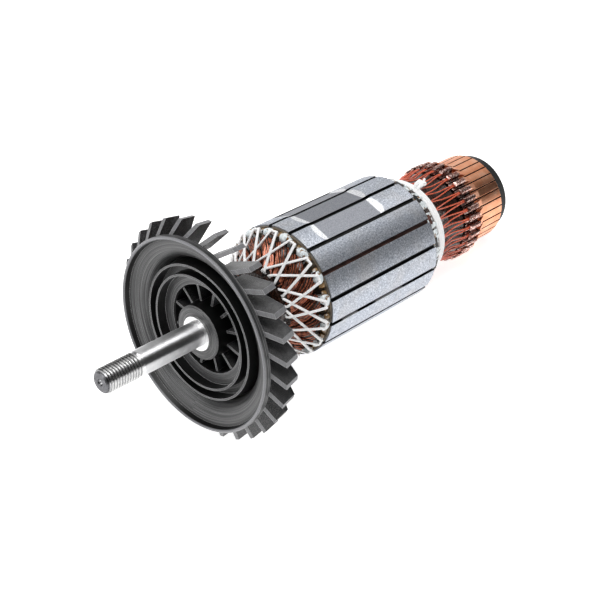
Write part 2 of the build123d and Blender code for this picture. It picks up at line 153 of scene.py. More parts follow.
def merged(parts):
    """One list of points and faces from several."""
    verts = []
    faces = []
    for part_verts, part_faces in parts:
        base = len(verts)
        verts.extend(part_verts)
        faces.extend(tuple(i + base for i in face) for face in part_faces)
    return verts, faces


def lathe(profile, segments=128):
    """Closed ring about the shaft from a closed outline of (x, radius)."""
    verts = [polar(x, r, 360 * k / segments) for k in range(segments) for x, r in profile]
    n = len(profile)
    faces = []
    for k in range(segments):
        a = k * n
        b = (k + 1) % segments * n
        faces.extend((a + i, a + (i + 1) % n, b + (i + 1) % n, b + i) for i in range(n))
    return verts, faces


def tube(path, radii, sides=8, squash=1.0):
    """Tube along a path, with a radius at each point; squash flattens it towards the shaft's axis."""
    count = len(path)
    verts = []
    for i, point in enumerate(path):
        before = path[max(i - 1, 0)]
        after = path[min(i + 1, count - 1)]
        along = (after - before).normalized()
        outward = Vector((0, point.y, point.z))
        outward -= along * outward.dot(along)
        if outward.length < 1e-6:
            outward = Vector((0, 0, 1)) - along * along.z
        outward.normalize()
        across = along.cross(outward)
        radius = radii[i] if isinstance(radii, list) else radii
        for s in range(sides):
            a = 2 * pi * s / sides
            verts.append(point + across * radius * cos(a) + outward * radius * squash * sin(a))
    faces = []
    for i in range(count - 1):
        a = i * sides
        b = a + sides
        faces.extend((a + s, a + (s + 1) % sides, b + (s + 1) % sides, b + s) for s in range(sides))
    faces.append(tuple(reversed(range(sides))))
    faces.append(tuple((count - 1) * sides + s for s in range(sides)))
    return verts, faces


def smooth_path(points, steps):
    """Points of a smooth curve through the given ones."""
    out = []
    count = len(points)
    for i in range(count - 1):
        p0 = points[max(i - 1, 0)]
        p1 = points[i]
        p2 = points[i + 1]
        p3 = points[min(i + 2, count - 1)]
        for s in range(steps):
            t = s / steps
            out.append(
                0.5 * (2 * p1 + (p2 - p0) * t + (2 * p0 - 5 * p1 + 4 * p2 - p3) * t * t
                       + (3 * p1 - p0 - 3 * p2 + p3) * t * t * t)
            )
    out.append(points[-1].copy())
    return out


# Materials
class Shading:
    """A procedural material, with its coordinates in the shaft's frame, in millimetres."""

    def __init__(self, name, roughness=0.5, metallic=0.0, **sockets):
        self.material = bpy.data.materials.new(name)
        self.material.use_nodes = True
        self.tree = self.material.node_tree
        self.shader = self.tree.nodes["Principled BSDF"]
        self.set("Roughness", roughness)
        self.set("Metallic", metallic)
        for socket, value in sockets.items():
            self.set(socket.replace("_", " "), value)
        coords = self.node("ShaderNodeTexCoord")
        mapping = self.node("ShaderNodeMapping", vector_type="TEXTURE")
        self.link(coords.outputs["Object"], mapping.inputs["Vector"])
        where, turn, size = LAY.decompose()
        mapping.inputs["Location"].default_value = where
        mapping.inputs["Rotation"].default_value = turn.to_euler()
        mapping.inputs["Scale"].default_value = size
        self.place = mapping.outputs[0]
        split = self.node("ShaderNodeSeparateXYZ")
        self.link(self.place, split.inputs[0])
        self.x, y, z = split.outputs
        squares = [self.math("MULTIPLY", v, v) for v in (y, z)]
        self.radius = self.math("SQRT", self.math("ADD", *squares))
        self.angle = self.math("ARCTAN2", self.math("MULTIPLY", y, -1.0), z)
        self.across = self.math("DIVIDE", y, self.radius)
        self.upward = self.math("DIVIDE", z, self.radius)

    def node(self, kind, **options):
        node = self.tree.nodes.new(kind)
        for key, value in options.items():
            setattr(node, key, value)
        return node

    def link(self, source, target):
        self.tree.links.new(source, target)

    def feed(self, socket, value):
        if isinstance(value, bpy.types.NodeSocket):
            self.link(value, socket)
        elif isinstance(value, tuple) and len(value) == 3 and socket.type == "RGBA":
            socket.default_value = (*value, 1)
        else:
            socket.default_value = value

    def set(self, socket, value):
        self.feed(self.shader.inputs[socket], value)

    def math(self, operation, a, b=None):
        node = self.node("ShaderNodeMath", operation=operation)
        self.feed(node.inputs[0], a)
        if b is not None:
            self.feed(node.inputs[1], b)
        return node.outputs[0]

    def vector(self, x, y, z):
        node = self.node("ShaderNodeCombineXYZ")
        for socket, value in zip(node.inputs, (x, y, z)):
            self.feed(socket, value)
        return node.outputs[0]

    def round_the_shaft(self, along=1.0, around=1.0, outward=1.0):
        """Coordinates (x, angle in radians, radius), each with its own scale."""
        return self.vector(self.math("MULTIPLY", self.x, along), self.math("MULTIPLY", self.angle, around),
                           self.math("MULTIPLY", self.radius, outward))

    def noise(self, scale, detail=2.0, vector=None, roughness=0.5):
        node = self.node("ShaderNodeTexNoise")
        self.link(vector or self.place, node.inputs["Vector"])
        node.inputs["Scale"].default_value = scale
        node.inputs["Detail"].default_value = detail
        node.inputs["Roughness"].default_value = roughness
        return node.outputs["Fac"]

    def ramp(self, value, *stops):
        """Colour or grey along stops of (place, colour)."""
        node = self.node("ShaderNodeValToRGB")
        self.link(value, node.inputs[0])
        elements = node.color_ramp.elements
        while len(elements) < len(stops):
            elements.new(0.5)
        for element, (place, colour) in zip(elements, stops):
            element.position = place
            element.color = (*colour, 1) if isinstance(colour, tuple) else (colour, colour, colour, 1)
        return node.outputs[0]

    def between(self, value, low, high):
        """Value taken from low..high to 0..1."""
        node = self.node("ShaderNodeMapRange")
        self.feed(node.inputs["Value"], value)
        node.inputs["From Min"].default_value = low
        node.inputs["From Max"].default_value = high
        return node.outputs[0]

    def mix(self, share, a, b, blend="MIX"):
        node = self.node("ShaderNodeMix", data_type="RGBA", blend_type=blend)
        self.feed(node.inputs[0], share)
        self.feed(node.inputs[6], a)
        self.feed(node.inputs[7], b)
        return node.outputs[2]

    def facing(self):
        """How far the surface faces along the shaft and away from it."""
        geometry = self.node("ShaderNodeNewGeometry")
        turn = self.node("ShaderNodeMapping", vector_type="VECTOR")
        turn.inputs["Rotation"].default_value = LAY.to_quaternion().inverted().to_euler()
        self.link(geometry.outputs["Normal"], turn.inputs["Vector"])
        split = self.node("ShaderNodeSeparateXYZ")
        self.link(turn.outputs[0], split.inputs[0])
        along, y, z = split.outputs
        outward = self.math("ADD", self.math("MULTIPLY", y, self.across),
                            self.math("MULTIPLY", z, self.upward))
        return along, outward

    def edges(self, radius, low=0.02, high=0.3):
        """1 near the edges of the solid, within a radius in millimetres, 0 away from them."""
        rounding = self.node("ShaderNodeBevel")
        rounding.samples = 6
        rounding.inputs["Radius"].default_value = radius * MM
        geometry = self.node("ShaderNodeNewGeometry")
        dot = self.node("ShaderNodeVectorMath", operation="DOT_PRODUCT")
        self.link(rounding.outputs[0], dot.inputs[0])
        self.link(geometry.outputs["Normal"], dot.inputs[1])
        return self.between(self.math("SUBTRACT", 1.0, dot.outputs["Value"]), low, high)

    def band(self, value, low, high, soft=0.1):
        """1 where the value lies between low and high."""
        rise = self.between(value, low - soft, low + soft)
        fall = self.between(value, high + soft, high - soft)
        return self.math("MULTIPLY", rise, fall)

    def stretches(self, spans, soft):
        """1 in two stretches along the shaft."""
        first, second = [self.band(self.x, low, high, soft) for low, high in spans]
        return self.math("ADD", first, second)

    def in_slot(self, angle):
        """1 in the slot at an angle in degrees."""
        return self.band(self.angle, radians(angle - SLOT_REACH), radians(angle + SLOT_REACH), 0.02)

    def turned(self, amount):
        """Fine marks round the shaft, which spread reflections along it."""
        self.set("Anisotropic", amount)
        along = LAY.to_quaternion() @ Vector((1, 0, 0))
        self.link(self.vector(*along), self.shader.inputs["Tangent"])

    def bump(self, height, strength=0.3, distance=0.05, edge=None):
        """Bump from a height, over edges that the light rounds by the edge radius in millimetres."""
        node = self.node("ShaderNodeBump")
        node.inputs["Strength"].default_value = strength
        node.inputs["Distance"].default_value = distance * MM
        self.link(height, node.inputs["Height"])
        if edge:
            rounding = self.node("ShaderNodeBevel")
            rounding.samples = 6
            rounding.inputs["Radius"].default_value = edge * MM
            self.link(rounding.outputs[0], node.inputs["Normal"])
        self.link(node.outputs[0], self.shader.inputs["Normal"])


def ground_steel():
    """Shaft, ground all round, with a darker end face."""
    m = Shading("ground_steel", metallic=1.0)
    rings = m.noise(1.0, 3, m.round_the_shaft(7, 0.5, 0.2))
    wear = m.noise(0.35, 4)
    colour = m.ramp(wear, (0.3, (0.66, 0.66, 0.67)), (0.7, (0.8, 0.8, 0.81)))
    nose = m.between(m.x, THREAD_FRONT + 0.3, THREAD_FRONT)
    colour = m.mix(nose, colour, (0.2, 0.2, 0.21))
    m.set("Base Color", colour)
    m.set("Roughness", m.math("ADD", m.ramp(rings, (0.3, 0.3), (0.7, 0.4)), m.math("MULTIPLY", nose, 0.2)))
    m.bump(rings, 0.05, 0.01, edge=0.12)
    m.turned(0.93)
    return m.material


def thread_steel():
    """Thread with painted shade in its roots."""
    m = Shading("thread_steel", metallic=1.0)
    wear = m.noise(0.8, 4)
    # Painted shade: near the root radius the thread is painted near black; the crests keep the steel's
    # colour
    crest = m.between(m.radius, THREAD_ROOT + 0.05, THREAD_RADIUS - 0.15)
    colour = m.ramp(wear, (0.3, (0.42, 0.42, 0.42)), (0.7, (0.66, 0.66, 0.65)))
    m.set("Base Color", m.mix(crest, (0.07, 0.07, 0.075), colour))
    m.set("Roughness", m.ramp(wear, (0.3, 0.24), (0.8, 0.36)))
    m.bump(wear, 0.2, 0.03)
    return m.material


def fan_nylon():
    """Near-black fan with fine turning lines on its front, painted shade in the step and the pocket, painted
    highlights on the lip and the blades' faces, and worn edges painted lighter as highlights.
    """
    m = Shading("fan_nylon", IOR=1.46)
    turning = m.noise(1.0, 3, m.round_the_shaft(2.5, 0.7, 9.0), 0.6)
    patches = m.noise(0.12, 4)
    fine = m.noise(4.0, 3)
    colour = m.ramp(patches, (0.3, (0.012, 0.012, 0.014)), (0.7, (0.022, 0.022, 0.026)))
    front = m.between(m.x, *FAN_FACE_X)
    lines = m.ramp(turning, (0.44, 0.012), (0.52, 0.07), (0.64, 0.26))
    colour = m.mix(m.math("MULTIPLY", front, 0.6), colour, lines)
    along, outward = m.facing()
    # Painted shade: the step behind the lip is painted near black
    step_shade = m.math("MULTIPLY", m.band(m.radius, *FAN_STEP, 0.15), m.band(m.x, *FAN_STEP_X, 0.2))
    colour = m.mix(step_shade, colour, (0.002, 0.002, 0.002))
    # Painted shade: the steep walls inside the pocket are painted near black
    wall = m.between(m.math("ABSOLUTE", outward), 0.6, 0.9)
    pocket_shade = m.math("MULTIPLY", wall, m.between(m.radius, *FAN_POCKET))
    colour = m.mix(pocket_shade, colour, (0.003, 0.003, 0.003))
    # Painted highlight: the blades' front and outer faces are painted lighter
    beyond = m.between(m.radius, *FAN_BLADES)
    thickness = m.math("MAXIMUM", m.between(along, -0.7, -0.95), m.between(outward, 0.9, 0.98))
    blade_edge_highlight = m.math("MULTIPLY", m.math("MULTIPLY", beyond, thickness), 0.6)
    colour = m.mix(blade_edge_highlight, colour, (0.24, 0.24, 0.25))
    # Painted highlight: the lip's front face is painted lighter
    lip_highlight = m.math("MULTIPLY", m.band(m.radius, *FAN_LIP, 0.1), m.between(along, -0.2, -0.7))
    colour = m.mix(lip_highlight, colour, (0.17, 0.17, 0.18))
    # Partly wear and partly painted highlight: the solid's edges are painted light grey in patches
    wear_and_highlight = m.math("MULTIPLY", m.edges(0.32, 0.02, 0.16), m.between(fine, 0.15, 0.55))
    m.set("Base Color", m.mix(wear_and_highlight, colour, (0.5, 0.5, 0.51)))
    m.set("Roughness", m.ramp(turning, (0.25, 0.3), (0.75, 0.46)))
    height = m.math("ADD", turning, m.math("MULTIPLY", fine, 0.3))
    m.bump(height, 0.4, 0.09, edge=0.3)
    return m.material


def grey_strip(m):
    """1 where grey paper closes one of the slots; it shows on the wedge and on the slot's walls."""
    return m.math("MULTIPLY", m.in_slot(GREY_SLOT), m.stretches(GREY_STRETCHES, 0.3))


def core_steel():
    """Laminated core: mottled blue-grey, with painted shade in the slots, and with duller milled patches."""
    m = Shading("core_steel")
    sheets = m.noise(1.0, 2, m.round_the_shaft(1.8, 4.0, 0.0))
    speckle = m.noise(1.7, 5, roughness=0.7)
    bloom = m.noise(0.09, 3)
    colour = m.ramp(speckle, (0.34, (0.2, 0.22, 0.27)), (0.5, (0.46, 0.49, 0.55)), (0.66, (0.82, 0.85, 0.9)))
    colour = m.mix(0.1, colour, m.ramp(sheets, (0.35, (0.2, 0.23, 0.28)), (0.65, (0.66, 0.7, 0.75))))
    colour = m.mix(m.between(bloom, 0.45, 1.2), colour, (0.5, 0.47, 0.44))
    milled = m.between(m.radius, *MILLED_RADII)
    grain = m.ramp(m.noise(3.2, 3), (0.3, (0.2, 0.21, 0.24)), (0.7, (0.4, 0.41, 0.44)))
    colour = m.mix(milled, colour, grain)
    ends = m.math("MULTIPLY", milled, m.stretches(RUN_OUTS, 0.25))
    bright = m.math("MULTIPLY", ends, m.between(speckle, 0.3, 0.5))
    colour = m.mix(bright, colour, (0.9, 0.91, 0.93))
    # Painted shade: the slots' side walls and all below the slot radius are painted near black and lose
    # their metal, except where grey paper closes a slot
    along, outward = m.facing()
    wall = m.math("MULTIPLY", m.between(outward, 0.6, 0.4), m.between(m.math("ABSOLUTE", along), 0.6, 0.4))
    depth = m.math("MAXIMUM", wall, m.between(m.radius, *SLOT_RADII))
    slot_shade_and_paper = m.mix(grey_strip(m), (0.012, 0.012, 0.014), (0.5, 0.5, 0.51))
    m.set("Base Color", m.mix(depth, colour, slot_shade_and_paper))
    m.set("Metallic", m.math("SUBTRACT", 0.75, m.math("MULTIPLY", depth, 0.75)))
    roughness = m.ramp(speckle, (0.3, 0.55), (0.8, 0.38))
    m.set("Roughness", m.math("ADD", roughness, m.math("MULTIPLY", milled, 0.1)))
    height = m.math("ADD", sheets, m.math("MULTIPLY", speckle, 0.8))
    m.bump(height, 0.35, 0.05, edge=0.1)
    m.turned(0.8)
    return m.material


def plain(name, dark, light, scale, roughness, edge=0.15, strength=0.3, distance=0.1, **sockets):
    """Mottled material between two colours."""
    m = Shading(name, **sockets)
    mottle = m.noise(scale, 5, roughness=0.6)
    m.set("Base Color", m.ramp(mottle, (0.3, dark), (0.7, light)))
    m.set("Roughness", m.ramp(mottle, (0.2, roughness - 0.08), (0.8, roughness + 0.1)))
    m.bump(mottle, strength, distance, edge=edge)
    return m.material


def bar_copper():
    """Turned copper of the running track, and darker, varnished hooks before it, with painted shade on the
    bars' sides.
    """
    m = Shading("bar_copper", metallic=1.0)
    turning = m.noise(1.0, 3, m.round_the_shaft(5, 0.8, 0.0))
    tarnish = m.noise(1.0, 3, m.round_the_shaft(0.14, 5.0, 0.2))
    track = m.ramp(
        tarnish, (0.25, (0.86, 0.33, 0.17)), (0.55, (0.97, 0.46, 0.27)), (0.85, (0.98, 0.62, 0.45))
    )
    hooks = m.ramp(
        m.noise(1.5, 3), (0.38, (0.1, 0.035, 0.03)), (0.52, (0.6, 0.3, 0.24)), (0.62, (0.97, 0.8, 0.74))
    )
    past = m.between(m.x, HOOK_END - 0.4, HOOK_END + 0.2)
    colour = m.mix(past, hooks, track)
    # Painted shade: the bars' sides, in the gaps between bars, are painted near black, much less so on the
    # track past the hooks towards its outer radius
    along, outward = m.facing()
    side = m.math("MULTIPLY", m.between(outward, 0.5, 0.3), m.between(m.math("ABSOLUTE", along), 0.6, 0.4))
    root = m.math("MULTIPLY", past, m.between(m.radius, *TRACK_RADII))
    side = m.math("MULTIPLY", side, m.math("SUBTRACT", 1.0, m.math("MULTIPLY", root, 0.8)))
    colour = m.mix(side, colour, (0.05, 0.018, 0.012))
    lines = m.mix(1.0, colour, m.ramp(turning, (0.3, 0.5), (0.7, 1.0)), "MULTIPLY")
    m.set("Base Color", m.mix(0.35, colour, lines))
    m.set("Roughness", m.ramp(turning, (0.3, 0.3), (0.8, 0.42)))
    m.bump(turning, 0.25, 0.03, edge=0.25)
    m.turned(0.8)
    return m.material


def slot_wedge():
    """Closing strips: near black, one of them browner and one under grey paper."""
    m = Shading("wedge_fibre")
    grain = m.noise(1.0, 4, m.round_the_shaft(0.3, 60.0, 4.0))
    brown = m.in_slot(BROWN_SLOT)
    colour = m.mix(brown, m.ramp(grain, (0.3, 0.006), (0.7, 0.03)),
                   m.ramp(grain, (0.3, (0.03, 0.012, 0.01)), (0.7, (0.16, 0.07, 0.055))))
    colour = m.mix(grey_strip(m), colour, (0.42, 0.42, 0.43))
    m.set("Base Color", colour)
    m.set("Roughness", 0.42)
    return m.material


def cord_white():
    """White cord with a faint grain."""
    m = Shading("cord_white", roughness=0.85, Sheen_Weight=0.2)
    fibre = m.noise(3.5, 4)
    m.set("Base Color", m.ramp(fibre, (0.2, (0.7, 0.69, 0.67)), (0.42, (0.97, 0.97, 0.97))))
    m.bump(fibre, 0.5, 0.15)
    return m.material


def liner_paper():
    """Bluish-white folded paper with gold-brown spots of varnish."""
    m = Shading("liner_paper", Coat_Weight=0.3)
    mottle = m.noise(0.9, 4)
    spots = m.noise(0.5, 3)
    colour = m.ramp(mottle, (0.3, (0.5, 0.58, 0.61)), (0.6, (0.86, 0.9, 0.91)))
    m.set("Base Color", m.mix(m.between(spots, 0.58, 0.64), colour, (0.22, 0.1, 0.02)))
    m.set("Roughness", 0.45)
    m.bump(mottle, 0.4, 0.15, edge=0.2)
    return m.material


STEEL = ground_steel()
THREAD = thread_steel()
NYLON = fan_nylon()
CORE = core_steel()
COPPER = bar_copper()
CORD = cord_white()
PAPER = liner_paper()
WEDGE = slot_wedge()
BRIGHT_STEEL = plain("washer_steel", (0.7, 0.7, 0.69), (0.88, 0.88, 0.88), 1.5, 0.3, metallic=0.9)
BOARD = plain("fibre_board", (0.03, 0.02, 0.015), (0.2, 0.16, 0.11), 0.5, 0.55)
RESIN = plain("black_resin", (0.003, 0.003, 0.003), (0.01, 0.01, 0.011), 0.9, 0.55, Specular_IOR_Level=0.12)
VARNISH = plain("varnished_coil", (0.006, 0.003, 0.002), (0.05, 0.018, 0.01), 0.8, 0.25,
                strength=0.6, distance=0.4, Coat_Weight=0.5)
ENAMEL = plain("enamelled_wire", (0.04, 0.006, 0.003), (0.74, 0.24, 0.13), 0.55, 0.28,
               metallic=0.6, Coat_Weight=0.4)
LEAD = plain("lead_enamel", (0.5, 0.07, 0.03), (0.86, 0.17, 0.08), 0.9, 0.34, Coat_Weight=0.4)
AMBER = plain("amber_varnish", (0.05, 0.02, 0.006), (0.36, 0.22, 0.09), 0.7, 0.22, Coat_Weight=0.6)

SOLID_SHARP = 28
NODE_MATERIALS = {
    "shaft": STEEL,
    "fan_spacer": BRIGHT_STEEL,
    "fan": NYLON,
    "laminated_core": CORE,
    "front_end_disc": BOARD,
    "rear_end_disc": BOARD,
    "slot_liners": PAPER,
    "slot_wedges": WEDGE,
    "slot_wires": VARNISH,
    "front_shaft_sleeve": RESIN,
    "rear_shaft_sleeve": RESIN,
    "front_coils": VARNISH,
    "front_lacing": CORD,
    "rear_coils": VARNISH,
    "rear_band": CORD,
    "band_knot": CORD,
    "lead_wires": LEAD,
    "commutator_moulding": RESIN,
    "commutator_bush": STEEL,
}


def dress_nodes():
    """Each node of the solids gets its material; the bars, which aren't listed, are copper."""
    for name, obj in frame["nodes"].items():
        material = NODE_MATERIALS.get(name, COPPER)
        obj.data.materials.clear()
        obj.data.materials.append(material)
        obj.data.polygons.foreach_set("use_smooth", [True] * len(obj.data.polygons))
        obj.data.set_sharp_from_angle(angle=radians(SOLID_SHARP))


# Thread on the shaft's front end
def make_thread():
    """A helical ridge with a rounded crest, fading out at both ends."""
    steps = 72
    turns = (THREAD_END - THREAD_FRONT) / THREAD_PITCH
    section = [(-0.5, 0.0), (-0.36, 0.06), (-0.07, 0.95), (0.0, 1.0), (0.07, 0.95), (0.36, 0.06), (0.5, 0.0)]
    verts = []
    rows = int(turns * steps)
    for i in range(rows + 1):
        turn = i / steps
        fade = min(1.0, turn / 0.8, (turns - turn) / 1.2)
        x = THREAD_FRONT + turn * THREAD_PITCH
        for along, height in section:
            px = min(max(x + along * THREAD_PITCH, THREAD_FRONT - 0.2), THREAD_END + 0.3)
            radius = THREAD_ROOT + (THREAD_RADIUS - THREAD_ROOT) * height * max(fade, 0.0)
            verts.append(polar(px, radius, 360 * turn))
        verts.append(polar(x, THREAD_ROOT - 0.3, 360 * turn))
    n = len(section) + 1
    faces = []
    for i in range(rows):
        a = i * n
        b = a + n
        faces.extend((a + s, a + (s + 1) % n, b + (s + 1) % n, b + s) for s in range(n))
    faces.append(tuple(reversed(range(n))))
    faces.append(tuple(rows * n + s for s in range(n)))
    piece("shaft_thread", verts, faces, THREAD, sharp=60)


# Strands over the front coil bundles
STRANDS = 13
STRAND_RADIUS = 0.31
STRAND_STEPS = 8


def station(along):
    """Drop, lean, width and depth of a bundle, at a share of its run."""
    for before, after in zip(COIL_STATIONS, COIL_STATIONS[1:]):
        if along <= after[0]:
            break
    t = (along - before[0]) / (after[0] - before[0])
    return [a + (b - a) * t for a, b in zip(before[1:], after[1:])]


def bundle_point(along, lift, sideways, slot):
    """Point of a bundle: along 0 at the slot to 1 at the nose; lift outward, sideways round the shaft."""
    drop, lean, width, depth = station(along)
    radius = COIL_ROOT + (COIL_NOSE - COIL_ROOT) * drop
    half_width = degrees(width * pi / SLOTS)
    angle = SLOT_PHASE + SLOT_PITCH * slot + COIL_LEAN * lean
    lifted = radius + lift * depth * COIL_DEPTH / 2
    return polar(COIL_START - COIL_RUN * along, lifted, angle + sideways * half_width)


def make_front_strands():
    """Single wires that follow each bundle over its outer side, each a little twisted and wavy."""
    draw = random.Random(11)
    parts = []
    for slot in range(SLOTS):
        for k in range(STRANDS):
            around = radians(-30 + 240 * k / (STRANDS - 1))
            lift = sin(around) * draw.uniform(0.93, 1.05)
            sideways = cos(around) * draw.uniform(0.88, 1.02)
            twist = draw.uniform(-0.12, 0.12)
            points = []
            for i in range(STRAND_STEPS + 1):
                t = i / STRAND_STEPS
                wave = draw.uniform(-0.03, 0.03)
                points.append(bundle_point(t, lift + wave, sideways + twist * (t - 0.5) + wave, slot))
            parts.append(tube(smooth_path(points, 2), STRAND_RADIUS, 6))
    verts, faces = merged(parts)
    piece("front_strands", verts, faces, ENAMEL)


# Lacing over the front coils. A cord's places are (x, radius).
LACING_LOOPS = 18
FIRST_KNOT = 11.9
LACE_RADIUS = 0.58
LACE_IN_CUFF = (46.9, 25.3)
LACE_ON_CUFF = (46.5, 26.6)
LACE_TOP = (46.0, 26.9)
LACE_NOSE = (36.35, 16.0)
LACE_END = (36.9, 14.2)
# The two runs from a knot: place beside it, turn round the shaft, and lift over the other run
LACE_RUNS = ((-3.4, -28, 0.0), (3.0, 12, 0.35))
# The knot's lump: x, radius, and place beside the knot's middle
KNOT_RADIUS = 0.55
KNOT_LUMP = ((46.9, 25.6, -3.5), (46.5, 26.7, -1.5), (46.6, 26.8, 1.5), (47.0, 25.6, 3.0))


def make_front_lacing():
    """Straight cords from each knot at the slot cuffs down to the nose, one each way round."""
    draw = random.Random(5)
    parts = []
    for k in range(LACING_LOOPS):
        knot = FIRST_KNOT + 360 / LACING_LOOPS * k + draw.uniform(-1.8, 1.8)
        for beside, turn, lift in LACE_RUNS:
            start = knot + beside
            end = start + turn + draw.uniform(-3.5, 3.5)
            top = polar(*LACE_TOP, start)
            nose = polar(LACE_NOSE[0], LACE_NOSE[1] + lift, end)
            path = [
                polar(*LACE_IN_CUFF, start - turn / 14),
                polar(*LACE_ON_CUFF, start),
                top,
                top.lerp(nose, 0.5) + polar(0, lift, (start + end) / 2),
                nose,
                polar(*LACE_END, end + turn / 14),
            ]
            parts.append(tube(smooth_path(path, 5), LACE_RADIUS, squash=0.75))
        lump = [polar(x, radius, knot + beside) for x, radius, beside in KNOT_LUMP]
        parts.append(tube(smooth_path(lump, 4), KNOT_RADIUS))
    verts, faces = merged(parts)
    cord = piece("coil_lacing", verts, faces, CORD)
    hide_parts("front_lacing")


# Folded paper at the ends of the slots
# A fold over a front end: x, radius, and whether the fold's own rise and lean reach the point
FRONT_FOLD = (
    (49.2, 25.2, 0, 0),
    (48.3, 26.1, 1, 0),
    (47.2, 26.3, 1, 1),
    (46.3, 25.6, 1, 1),
    (45.9, 24.4, 0, 1),
)
FOLD_WIDTHS = [2.1] * 12 + [1.9, 1.7, 1.4, 1.1, 0.6]
# A drop of varnish from its root to its tip: (x, radius)
DROP_ROOT = (49.2, 25.3)
DROP_MIDDLE = (48.2, 25.8)
DROP_TIP = (47.0, 25.1)
REAR_CUFFS = 60
REAR_CUFF_X = 113.5
REAR_CUFF_RADIUS = 26.2
REAR_CUFF_SLOPE = 0.3
PAPER_THICKNESS = 0.25


def make_front_cuffs():
    """A rounded fold over each slot's front end, and varnish between the folds."""
    draw = random.Random(21)
    folds = []
    drops = []
    for slot in range(SLOTS):
        middle = SLOT_PHASE + SLOT_PITCH * slot
        lean = draw.uniform(-2.5, 2.5)
        rise = draw.uniform(-0.3, 0.3)
        path = [polar(x, radius + risen * rise, middle + leant * lean)
                for x, radius, risen, leant in FRONT_FOLD]
        folds.append(tube(smooth_path(path, 4), FOLD_WIDTHS, 12, squash=0.45))
        for side in (-1, 1):
            spot = middle + side * draw.uniform(5.5, 8.5)
            path = [
                polar(*DROP_ROOT, spot),
                polar(*DROP_MIDDLE, spot + draw.uniform(-1, 1)),
                polar(*DROP_TIP, spot + draw.uniform(-2, 2)),
            ]
            drops.append(tube(smooth_path(path, 4), draw.uniform(0.9, 1.35), squash=0.8))
    verts, faces = merged(folds)
    piece("front_cuffs", verts, faces, PAPER)
    verts, faces = merged(drops)
    piece("cuff_varnish", verts, faces, AMBER)


def make_rear_cuffs():
    """Ragged ends of the slot papers, pressed down towards the band."""
    draw = random.Random(17)
    parts = []
    for k in range(REAR_CUFFS):
        middle = 360 / REAR_CUFFS * k + draw.uniform(-2, 2)
        reach = draw.uniform(3.5, 7.6)
        half = draw.uniform(1.6, 3.8)
        rows = []
        for t, lift in ((0, 0.2), (0.5, 0.45), (1, 0.15)):
            x = REAR_CUFF_X + reach * t
            slope = REAR_CUFF_SLOPE * (x - REAR_CUFF_X)
            radius = REAR_CUFF_RADIUS - slope + lift + draw.uniform(-0.15, 0.15)
            skew = draw.uniform(-0.8, 0.8)
            rows.append([polar(x, radius - drop, middle + skew + side * half * (1 - 0.3 * t))
                         for drop in (0, PAPER_THICKNESS) for side in (-1, 1)])
        verts = [p for row in rows for p in row]
        faces = []
        for i in range(2):
            a = 4 * i
            b = a + 4
            faces += [
                (a, a + 1, b + 1, b),
                (a + 3, a + 2, b + 2, b + 3),
                (a, b, b + 2, a + 2),
                (a + 1, a + 3, b + 3, b + 1),
            ]
        faces += [(0, 2, 3, 1), (8, 9, 11, 10)]
        parts.append((verts, faces))
    verts, faces = merged(parts)
    piece("rear_cuffs", verts, faces, PAPER)


# Rear band, wound from cord, with its tuft of cord ends
BAND_TURNS = 3
BAND_BULGE = 0.45
TUFT_ENDS = 16
TUFT_ANGLE = 9.0
TUFT_X = 125.0
TUFT_ROOT_RADIUS = 22.1
TUFT_MIDDLE_RADIUS = 23.3
TUFT_TIP_RADIUS = 23.6
TUFT_CORD_RADIUS = 0.5


def make_band():
    """Turns of cord side by side, each with a bulging outer side."""
    width = (BAND_REAR - BAND_FRONT) / BAND_TURNS
    outline = [(BAND_FRONT + 0.05, BAND_SEAT + 0.05)]
    for k in range(BAND_TURNS):
        middle = BAND_FRONT + width * (k + 0.5)
        for i in range(7):
            a = radians(160 - 140 * i / 6)
            radius = BAND_RADIUS - BAND_BULGE + BAND_BULGE * sin(a)
            outline.append((middle + width * 0.52 * cos(a), radius))
    outline.append((BAND_REAR - 0.02, BAND_SEAT + 0.05))
    verts, faces = lathe(outline, 180)
    band = piece("wound_band", verts, faces, CORD)
    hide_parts("rear_band")


def make_tuft():
    """Cord ends that stand up from the band and lean back over the leads."""
    draw = random.Random(3)
    parts = []
    for _ in range(TUFT_ENDS):
        angle = TUFT_ANGLE + draw.uniform(-3.2, 3.2)
        x = TUFT_X + draw.uniform(-1.0, 0.8)
        path = [
            polar(x, TUFT_ROOT_RADIUS, angle),
            polar(x + draw.uniform(1.2, 2.4), TUFT_MIDDLE_RADIUS + draw.uniform(0, 0.5),
                  angle + draw.uniform(-2, 2)),
            polar(x + draw.uniform(3.0, 5.6), TUFT_TIP_RADIUS + draw.uniform(-0.6, 0.8),
                  angle + draw.uniform(-4.5, 4.5)),
        ]
        parts.append(tube(smooth_path(path, 4), TUFT_CORD_RADIUS, 7))
    verts, faces = merged(parts)
    tuft = piece("band_tuft", verts, faces, CORD)
    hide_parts("band_knot")


# Lead wires to the hooks, with places in degrees beside the middle of each bar
LEAD_SPREAD = 5.0
LEAD_PINCH = 0.95
LEAD_RADIUS = 0.3


